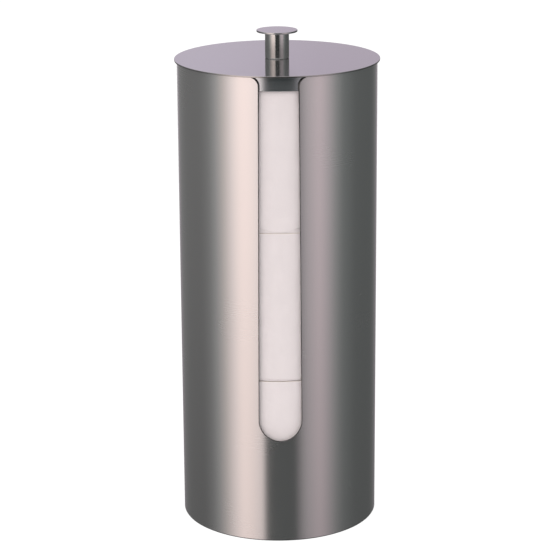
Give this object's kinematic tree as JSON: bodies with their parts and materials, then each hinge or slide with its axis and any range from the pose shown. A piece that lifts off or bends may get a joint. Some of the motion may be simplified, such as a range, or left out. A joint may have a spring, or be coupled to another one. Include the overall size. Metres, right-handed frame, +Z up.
{
  "type": "toilet roll storage holder",
  "caption": "Tall round brushed steel canister that stores toilet rolls in a stack, with a finger slot down the front and a flat lift-off lid with a round knob.",
  "frame": {"origin": "centre of the face the holder stands on, on the axis of the canister", "axes": "+Z up along the canister's axis, -Y out of the front where the finger slot is, +X to the right as seen from the front"},
  "size_m": [0.1336, 0.1336, 0.329],
  "materials": {
    "shell_steel": "satin",
    "lid_steel": "satin",
    "knob_steel": "polished",
    "pan_steel": "satin",
    "screw_steel": "satin",
    "foot_rubber": "matte",
    "tissue": "matte",
    "core_card": "matte"
  },
  "bodies": {
    "canister": {"shell": "shell_steel", "base_pan": "pan_steel", "foot_ring": "foot_rubber"},
    "lid": {"lid_disc": "lid_steel", "lid_collar": "pan_steel", "knob_stem": "knob_steel", "knob_cap": "knob_steel", "knob_screw": "screw_steel", "knob_washer": "screw_steel"},
    "roll_top": {"roll_top_paper": "tissue", "roll_top_core": "core_card"},
    "roll_middle": {"roll_middle_paper": "tissue", "roll_middle_core": "core_card"},
    "roll_bottom": {"roll_bottom_paper": "tissue", "roll_bottom_core": "core_card"}
  },
  "joints": [
    {"name": "lid_lift", "type": "slide", "parent": "canister", "child": "lid", "axis": [0, 0, 1], "range_m": [0, 0.12]},
    {"name": "roll_top_turn", "type": "hinge", "parent": "canister", "child": "roll_top", "pos_m": [0, -0.0025, 0.2589], "axis": [0, 0, 1], "continuous": true},
    {"name": "roll_middle_turn", "type": "hinge", "parent": "canister", "child": "roll_middle", "pos_m": [0, -0.0025, 0.1596], "axis": [0, 0, 1], "continuous": true},
    {"name": "roll_bottom_turn", "type": "hinge", "parent": "canister", "child": "roll_bottom", "pos_m": [0, -0.0025, 0.0603], "axis": [0, 0, 1], "continuous": true}
  ]
}
